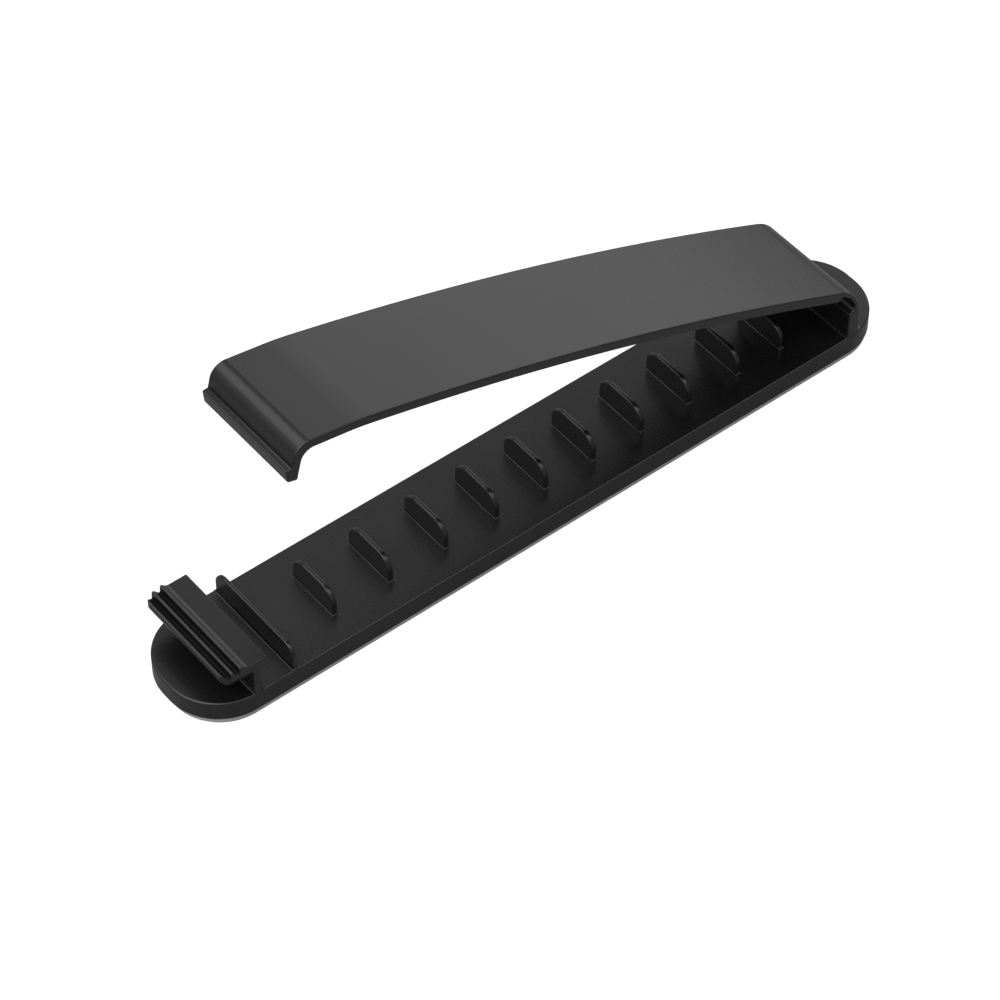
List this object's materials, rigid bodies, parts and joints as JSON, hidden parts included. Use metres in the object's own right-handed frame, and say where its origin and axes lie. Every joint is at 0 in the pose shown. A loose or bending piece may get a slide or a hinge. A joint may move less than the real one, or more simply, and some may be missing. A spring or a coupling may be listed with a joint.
{
  "type": "adhesive cable clip",
  "caption": "Open cable clip on a foam sticking pad: a flat base with low dividing fins, a springy arm on a thin bend, and a ridged latch that catches the arm's hooked lip.",
  "frame": {"origin": "middle of the sticky lower face of the foam pad", "axes": "+Z out of the surface that the clip sticks to, +X along the base towards the arm's hinge, Y across it"},
  "size_m": [0.085, 0.0126, 0.0322],
  "materials": {
    "black_plastic": "satin moulded plastic, fine even texture",
    "grey_foam": "matte closed-cell foam with adhesive on its lower face"
  },
  "bodies": {
    "root": {"clip_moulding": "black_plastic", "adhesive_foam_pad": "grey_foam"}
  },
  "joints": []
}
